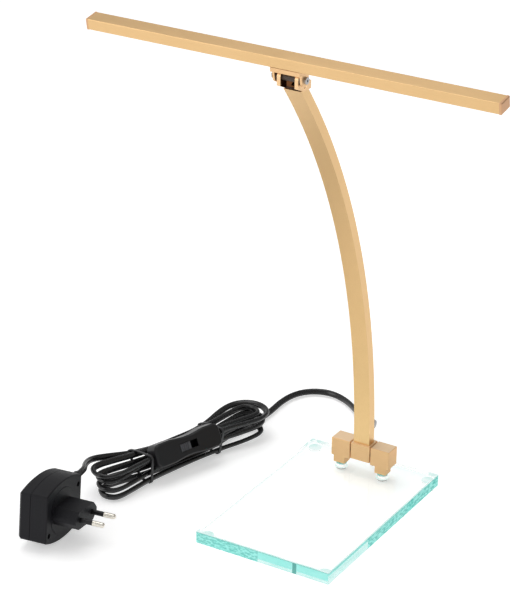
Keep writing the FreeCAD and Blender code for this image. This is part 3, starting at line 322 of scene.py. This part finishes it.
class Nodes(Tree):
    """One material's nodes, round its own shader and output."""

    def __init__(self, name):
        self.material = bpy.data.materials.new(name)
        self.material.use_nodes = True
        super().__init__(self.material.node_tree)
        self.shader = self.tree.nodes["Principled BSDF"]
        self.output = self.tree.nodes["Material Output"]
        self.place = self.add("ShaderNodeTexCoord").outputs["Object"]

    def stretched(self, scale, turn=(0, 0, 0)):
        mapping = self.add("ShaderNodeMapping")
        mapping.inputs["Scale"].default_value = scale
        mapping.inputs["Rotation"].default_value = turn
        self.link(self.place, mapping.inputs["Vector"])
        return mapping.outputs["Vector"]

    def noise(self, scale, vector=None, detail=3.0, rough=0.55):
        node = self.add("ShaderNodeTexNoise")
        node.inputs["Scale"].default_value = scale
        node.inputs["Detail"].default_value = detail
        node.inputs["Roughness"].default_value = rough
        self.link(vector or self.place, node.inputs["Vector"])
        return node.outputs["Fac"]

    def blend(self, fac, first, second):
        """Colours mixed by fac; a colour is four numbers or another node's output."""
        node = self.add("ShaderNodeMix", data_type="RGBA")
        self.link(fac, node.inputs["Factor"])
        for key, colour in ((6, first), (7, second)):
            if isinstance(colour, tuple):
                node.inputs[key].default_value = colour
            else:
                self.link(colour, node.inputs[key])
        return node.outputs[2]

    def mixed(self, fac, first, second):
        node = self.add("ShaderNodeMixShader")
        self.link(fac, node.inputs[0])
        self.link(first.outputs[0], node.inputs[1])
        self.link(second.outputs[0], node.inputs[2])
        return node

    def bump(self, height, strength, distance, normal=None):
        node = self.add("ShaderNodeBump")
        node.inputs["Strength"].default_value = strength
        node.inputs["Distance"].default_value = distance
        self.link(height, node.inputs["Height"])
        if normal:
            self.link(normal, node.inputs["Normal"])
        return node.outputs["Normal"]

    def set(self, **values):
        for key, value in values.items():
            self.shader.inputs[key.replace("_", " ")].default_value = value

    def to(self, source, key):
        self.link(source, self.shader.inputs[key])


# Faces turned up further than this get the painted light colour for tops.
FACING_UP = 0.8
# Bounds of the knuckle's painted shade: dark between and behind its lugs, above its floor.
SHADE_HALF_WIDTH = 0.0056
SHADE_REAR_HALF_WIDTH = 0.0079
SHADE_WIDER_FROM = -0.054
SHADE_FRONT = -0.0606
SHADE_BACK = -0.0446
SHADE_FLOOR = 0.3504


def brushed(name, colour, dark, scale, rough=0.34, metallic=1.0, painted_lit_top=None):
    """Brushed metal, with fine lines along the axis that has the small scale. A colour given for the top is
    painted light on faces turned upwards.
    """
    n = Nodes(name)
    lines = n.noise(1.0, n.stretched(scale), 4.0, 0.7)
    cloud = n.noise(14.0, None, 2.0)
    mix = n.math("ADD", n.span(lines, 0.0, 0.7, 0.3, 0.7), n.span(cloud, 0.0, 0.3, 0.3, 0.7))
    tone = n.blend(mix, dark, colour)
    if painted_lit_top:
        # Painted light: faces turned upwards get the lighter top colour.
        normal = n.axes(n.add("ShaderNodeNewGeometry").outputs["Normal"])
        tone = n.blend(n.above(normal["Z"], FACING_UP), tone, painted_lit_top)
    n.to(tone, "Base Color")
    n.to(n.span(lines, rough - 0.05, rough + 0.09, 0.3, 0.7), "Roughness")
    n.to(n.bump(lines, 0.16, 0.00004), "Normal")
    n.set(Metallic=metallic)
    return n.material


def shaded_fork(name, colour, dark):
    """The fork's metal, with painted shade: dark between its lugs and behind them."""
    n = Nodes(name)
    x, y, z = n.axes(n.place)
    aside = n.size_of(x)
    between = n.below(aside, SHADE_HALF_WIDTH)
    behind = n.both(n.above(y, SHADE_WIDER_FROM), n.below(aside, SHADE_REAR_HALF_WIDTH))
    depth = n.both(n.above(y, SHADE_FRONT), n.below(y, SHADE_BACK))
    # Painted shade between the lugs and behind them.
    painted_shade_zone = n.both(n.math("MAXIMUM", between, behind), n.both(n.above(z, SHADE_FLOOR), depth))
    lines = n.noise(1.0, n.stretched((2600, 200, 2600)), 4.0, 0.7)
    duller = tuple(c * 0.86 for c in colour[:3]) + (1.0,)
    n.to(n.blend(painted_shade_zone, n.blend(lines, duller, colour), dark), "Base Color")
    n.to(n.span(lines, 0.33, 0.47, 0.3, 0.7), "Roughness")
    n.to(n.bump(lines, 0.16, 0.00004), "Normal")
    n.set(Metallic=1.0)
    return n.material


def moulded(name, colour, rough=0.42, grain=2600.0, strength=0.3, lighter=1.5, shine=0.5):
    """Moulded plastic with a fine spark-eroded texture."""
    n = Nodes(name)
    fine = n.noise(grain, None, 2.0)
    cloud = n.noise(60.0, None, 3.0)
    light = tuple(min(1.0, c * lighter) for c in colour[:3]) + (1.0,)
    n.to(n.blend(n.span(cloud, 0.0, 1.0, 0.35, 0.7), colour, light), "Base Color")
    n.to(n.span(fine, rough - 0.07, rough + 0.1, 0.3, 0.7), "Roughness")
    n.to(n.bump(fine, strength, 0.00005), "Normal")
    n.set(Specular_IOR_Level=shine)
    return n.material


# Where the glass's painted edge light goes: its glow, light bands, dark top line, dark mark and hole band.
RIM = 0.0535
RIM_Y_OFFSET = 0.03
BAND_DIAGONAL_LIMIT = 0.082
TOP_LINE = 0.0115
MARK_PLACE = 0.0272
MARK_HALF_WIDTH = 0.0016
MARK_FRONT = -0.08
HOLE_COLLAR = 0.009
BAND_FLOOR = 0.0056
BAND_STEP = 0.0042
RIGHT_EDGE = 0.0545
EDGE_SHARE = 0.82
OPEN_SHARE = 0.62
COLLAR_SHARE = 0.75
GLOW_SHARE = 0.55


def clear_glass():
    """Plate glass, clear through its faces. Its edge tones are painted on by position as painted light: an aqua
    tone that partly glows, with light bands, a dark line and a dark mark.
    """
    n = Nodes("plate_glass")
    n.set(Base_Color=(1.0, 1.0, 1.0, 1.0), Roughness=0.0, IOR=1.5, Transmission_Weight=1.0)
    absorb = n.add("ShaderNodeVolumeAbsorption", Color=(0.5, 0.94, 0.9, 1.0), Density=3.0)
    n.link(absorb.outputs[0], n.output.inputs["Volume"])
    # Painted light: deep rays inside the glass, before any diffuse bounce, meet a pale aqua glow instead of the
    # glass.
    path = n.add("ShaderNodeLightPath")
    deep = n.both(n.above(path.outputs["Ray Depth"], 2.5), n.below(path.outputs["Diffuse Depth"], 0.5))
    painted_inner_glow = n.add("ShaderNodeEmission")
    cloud = n.noise(1.0, n.stretched((60, 60, 400)), 3.0, 0.6)
    pale = n.blend(n.span(cloud, 0.0, 1.0, 0.38, 0.62), linear(206, 243, 238), linear(240, 254, 252))
    n.link(pale, painted_inner_glow.inputs["Color"])
    inside = n.mixed(deep, n.shader, painted_inner_glow)

    x, y, z = n.axes(n.place)
    facing = n.add("ShaderNodeNewGeometry")
    upright = n.below(n.size_of(n.axes(facing.outputs["Normal"])["Z"]), 0.5)
    outside = n.without(facing.outputs["Backfacing"])
    reach = n.math("MAXIMUM", n.size_of(x), n.math("SUBTRACT", n.size_of(y), RIM_Y_OFFSET))
    rim = n.above(reach, RIM)
    outer_rim_faces = n.both(n.both(upright, outside), rim)
    diagonal = n.math("SUBTRACT", x, y)

    # Painted light bands: brighter and darker aqua broken up by noise, on the edges up to the diagonal limit.
    band_noise = n.noise(1.0, n.stretched((260, 260, 620)), 4.0, 0.65)
    painted_light_bands = n.both(n.span(band_noise, 0.0, 1.0, 0.44, 0.56), n.below(diagonal, BAND_DIAGONAL_LIMIT))
    colour = n.blend(painted_light_bands, linear(158, 252, 242), linear(96, 212, 200))
    # A painted dark line along the top of the edges.
    colour = n.blend(n.above(z, TOP_LINE), colour, linear(58, 172, 162))
    # A painted dark mark on the front edge, standing in for a pad seen by refraction.
    from_mark = n.size_of(n.math("SUBTRACT", x, MARK_PLACE))
    painted_dark_mark = n.both(n.below(from_mark, MARK_HALF_WIDTH), n.below(y, MARK_FRONT))
    colour = n.blend(painted_dark_mark, colour, linear(44, 164, 154))
    # A painted aqua band at the top of the hole walls, standing in for refraction seen round the feet.
    painted_hole_band = n.both(n.both(upright, n.without(rim)), n.above(z, HOLE_COLLAR))
    colour = n.blend(painted_hole_band, colour, linear(70, 190, 178))

    # Painted light: the edge colour is shown partly as a matte tone and partly as a glow.
    matte = n.add("ShaderNodeBsdfDiffuse")
    n.link(colour, matte.inputs["Color"])
    n.link(n.bump(band_noise, 0.1, 0.0001), matte.inputs["Normal"])
    glow = n.add("ShaderNodeEmission", Strength=0.95)
    n.link(colour, glow.inputs["Color"])
    half = n.add("ShaderNodeValue")
    half.outputs[0].default_value = GLOW_SHARE
    painted_edge_light = n.mixed(half.outputs[0], matte, glow)

    # How much of each face shows the painted edge light and the painted hole band.
    band_floor = n.math("ADD", BAND_FLOOR, n.both(n.above(x, RIGHT_EDGE), BAND_STEP))
    open_part = n.both(n.above(diagonal, BAND_DIAGONAL_LIMIT), n.below(z, band_floor))
    opened = n.math("SUBTRACT", OPEN_SHARE, n.both(painted_dark_mark, OPEN_SHARE))
    share = n.math("SUBTRACT", EDGE_SHARE, n.both(open_part, opened))
    painted = n.math("MAXIMUM", n.both(outer_rim_faces, share), n.both(painted_hole_band, COLLAR_SHARE))
    body = n.mixed(painted, inside, painted_edge_light)
    clear = n.add("ShaderNodeBsdfTransparent", Color=(0.992, 1.0, 0.998, 1.0))
    n.link(n.mixed(path.outputs["Is Shadow Ray"], body, clear).outputs[0], n.output.inputs["Surface"])
    return n.material


def clear_plastic(name, colour, rough, bend, painted_collar_tint=None):
    """Clear plastic that hardly bends what is seen through it, with light passing in the shadow."""
    n = Nodes(name)
    n.set(Base_Color=colour, IOR=bend, Transmission_Weight=1.0)
    # Painted refraction: the part above the collar height gets an aqua tint.
    if painted_collar_tint:
        n.to(n.blend(n.above(n.axes(n.place)["Z"], COLLAR_HEIGHT), colour, painted_collar_tint), "Base Color")
    fine = n.noise(900.0, None, 2.0)
    n.to(n.span(fine, rough, rough + 0.08, 0.3, 0.7), "Roughness")
    n.to(n.bump(fine, 0.1, 0.00003), "Normal")
    path = n.add("ShaderNodeLightPath")
    clear = n.add("ShaderNodeBsdfTransparent", Color=(0.99, 1.0, 1.0, 1.0))
    n.link(n.mixed(path.outputs["Is Shadow Ray"], n.shader, clear).outputs[0], n.output.inputs["Surface"])
    return n.material


# Height above which the bush's painted aqua tint starts.
COLLAR_HEIGHT = 0.0104
GOLD = linear(232, 195, 142)
GOLD_DARK = linear(218, 180, 126)
bar_metal = brushed("bar_metal", linear(229, 192, 141), linear(215, 178, 126), (60, 5200, 5200))
arm_metal = brushed("arm_metal", GOLD, GOLD_DARK, (5200, 5200, 70))
# The hinge blocks' tops are painted lighter, as painted light from above.
block_metal = brushed("block_metal", linear(250, 206, 153), linear(238, 190, 135), (150, 4200, 4200),
                      rough=0.5, metallic=0.55, painted_lit_top=linear(255, 225, 186))
cap_metal = brushed("cap_metal", linear(222, 180, 142), linear(200, 156, 118), (900, 900, 4200), rough=0.45)
fork_metal = brushed("fork_metal", linear(244, 204, 156), linear(214, 172, 124), (2600, 200, 2600), rough=0.38)
# The dark colour is painted shade inside the fork.
knuckle_metal_painted_shade = shaded_fork("knuckle_metal_painted_shade", linear(244, 204, 156), linear(84, 52, 28))
steel = brushed("steel", linear(190, 190, 192), linear(150, 150, 152), (900, 900, 5000), rough=0.3)
dark_steel = brushed("dark_steel", linear(92, 72, 56), linear(60, 46, 36), (900, 900, 4000), rough=0.35)
nickel = brushed("nickel", linear(236, 232, 222), linear(206, 200, 188), (400, 3000, 3000), rough=0.14)
core_metal = brushed("core_metal", linear(96, 96, 98), linear(64, 64, 66), (3000, 120, 3000), rough=0.5)
black_case = moulded("black_case", linear(19, 19, 23), rough=0.52, grain=2400.0, strength=0.35, lighter=1.25,
                     shine=0.22)
black_smooth = moulded("black_smooth", linear(15, 15, 18), rough=0.36, grain=3200.0, strength=0.18, lighter=1.25,
                       shine=0.34)
slider_grey = moulded("slider_grey", linear(72, 72, 76), rough=0.4, grain=3000.0, strength=0.2, lighter=1.2)
cord_skin = moulded("cord_skin", linear(11, 11, 13), rough=0.24, grain=1500.0, strength=0.12, lighter=1.25)
tie_skin = moulded("tie_skin", linear(38, 38, 40), rough=0.4, grain=1800.0, strength=0.2)
washer_plastic = moulded("washer_plastic", linear(62, 46, 36), rough=0.45)
diffuser_skin = moulded("diffuser_skin", linear(238, 238, 232), rough=0.5, grain=900.0, strength=0.1, lighter=1.03)
board_skin = moulded("board_skin", linear(226, 226, 222), rough=0.5, grain=1200.0, strength=0.1, lighter=1.04)
chip_skin = moulded("chip_skin", linear(228, 206, 96), rough=0.3, grain=1800.0, strength=0.1, lighter=1.05)
glass = clear_glass()
bush_plastic = clear_plastic("bush_plastic", (1.0, 1.0, 1.0, 1.0), 0.05, 1.02, painted_collar_tint=(0.12, 0.62, 0.56, 1.0))
washer_clear = clear_plastic("washer_clear", (0.2, 0.8, 0.74, 1.0), 0.1, 1.1)
pad_rubber = clear_plastic("pad_rubber", (1.0, 1.0, 1.0, 1.0), 0.05, 1.02)

FINISH = {
    "glass_plate": glass, "base_bumpers": pad_rubber, "base_screws": steel, "glass_bushes": bush_plastic,
    "foot_washers": washer_clear, "hinge_block_left": block_metal, "hinge_block_right": block_metal,
    "hinge_block_middle": block_metal, "hinge_axle": steel, "friction_washers": washer_plastic,
    "axle_grub_screws": dark_steel, "friction_grub_screw": dark_steel, "arm_tenon": steel, "arm_tube": arm_metal,
    "cord_grommet": black_smooth, "arm_lead": cord_skin, "arm_knuckle": knuckle_metal_painted_shade, "head_bracket": fork_metal,
    "pivot_bolt": steel, "pivot_nut": dark_steel, "pivot_washers": washer_plastic,
    "friction_barrel": washer_plastic, "bracket_screws": steel, "light_profile": bar_metal,
    "end_cap_left": cap_metal, "end_cap_right": cap_metal, "diffuser": diffuser_skin, "led_board": board_skin,
    "led_chips": chip_skin, "cord_lead": cord_skin, "cord_hank": cord_skin, "cord_tail": cord_skin,
    "hank_tie_left": tie_skin, "hank_tie_right": tie_skin, "switch_base": black_smooth,
    "switch_cover": black_smooth, "switch_slider": slider_grey, "switch_contacts": black_smooth,
    "switch_screws": steel, "adapter_front_cover": black_case, "adapter_back_cover": black_case,
    "adapter_transformer": core_metal, "plug_nose": black_case, "plug_pins": nickel, "pin_sleeves": black_smooth,
    "plug_strain_relief": cord_skin,
}


def dress(obj, material):
    obj.data.materials.clear()
    obj.data.materials.append(material)


for name, node in nodes.items():
    dress(node, FINISH[name])
dress(power_lead, cord_skin)
dress(plug_lead, cord_skin)


# Floor, backdrop and light


FLOOR_HALF = 6.0
FLOOR_DROP = 0.0002
FLOOR_LIFT = 0.42


def make_floor():
    mesh = bmesh.new()
    corners = [mesh.verts.new((x * FLOOR_HALF, y * FLOOR_HALF, -FLOOR_DROP))
               for x, y in ((-1, -1), (1, -1), (1, 1), (-1, 1))]
    mesh.faces.new(corners)
    floor = finish_mesh("floor", mesh, None, smooth=False)
    material = bpy.data.materials.new("floor")
    material.use_nodes = True
    material.node_tree.nodes.clear()
    n = Tree(material.node_tree)
    output = n.add("ShaderNodeOutputMaterial")
    matte = n.add("ShaderNodeBsdfDiffuse", Color=(0.90, 0.90, 0.90, 1.0))
    glow = n.add("ShaderNodeEmission", Color=(1.0, 1.0, 1.0, 1.0))
    lit = n.add("ShaderNodeAddShader")
    n.link(matte.outputs[0], lit.inputs[0])
    n.link(glow.outputs[0], lit.inputs[1])
    path = n.add("ShaderNodeLightPath").outputs
    through = n.math("MAXIMUM", path["Is Transmission Ray"], path["Is Glossy Ray"])
    seen = n.math("MAXIMUM", path["Is Camera Ray"], through)
    n.link(n.both(seen, FLOOR_LIFT), glow.inputs["Strength"])
    n.link(lit.outputs[0], output.inputs["Surface"])
    dress(floor, material)


def make_world():
    world = bpy.data.worlds.new("world")
    world.use_nodes = True
    scene.world = world
    n = Tree(world.node_tree)
    back = n.tree.nodes["Background"]
    axes = n.axes(n.add("ShaderNodeTexCoord").outputs["Generated"])
    height = n.span(axes["Z"], 0.95, 0.5, 0.1, 0.8)
    across = n.span(axes["X"], 1.14, 0.74, -1.0, 1.0)
    behind = n.span(axes["Y"], 1.0, 0.58, 0.1, 0.9)
    shade = n.both(n.both(height, across), behind)
    pick = n.add("ShaderNodeMix", data_type="FLOAT")
    n.link(n.add("ShaderNodeLightPath").outputs["Is Camera Ray"], pick.inputs["Factor"])
    n.link(shade, pick.inputs["A"])
    pick.inputs["B"].default_value = 1.0
    n.link(pick.outputs["Result"], back.inputs["Strength"])
    back.inputs["Color"].default_value = (1.0, 1.0, 1.0, 1.0)


def make_light(name, place, aim, size, power):
    data = bpy.data.lights.new(name, "AREA")
    data.shape = "RECTANGLE"
    data.size, data.size_y = size
    data.energy = power
    light = bpy.data.objects.new(name, data)
    light.location = place
    light.rotation_euler = (Vector(aim) - Vector(place)).to_track_quat("-Z", "Y").to_euler()
    scene.collection.objects.link(light)


make_floor()
make_world()
make_light("over", (-0.5, 0.3, 1.9), (0, 0, 0.1), (1.4, 1.2), 11.0)
make_light("front", (-1.3, -1.5, 0.9), (0, 0, 0.2), (1.0, 1.2), 7.0)
scene.view_settings.view_transform = "Standard"
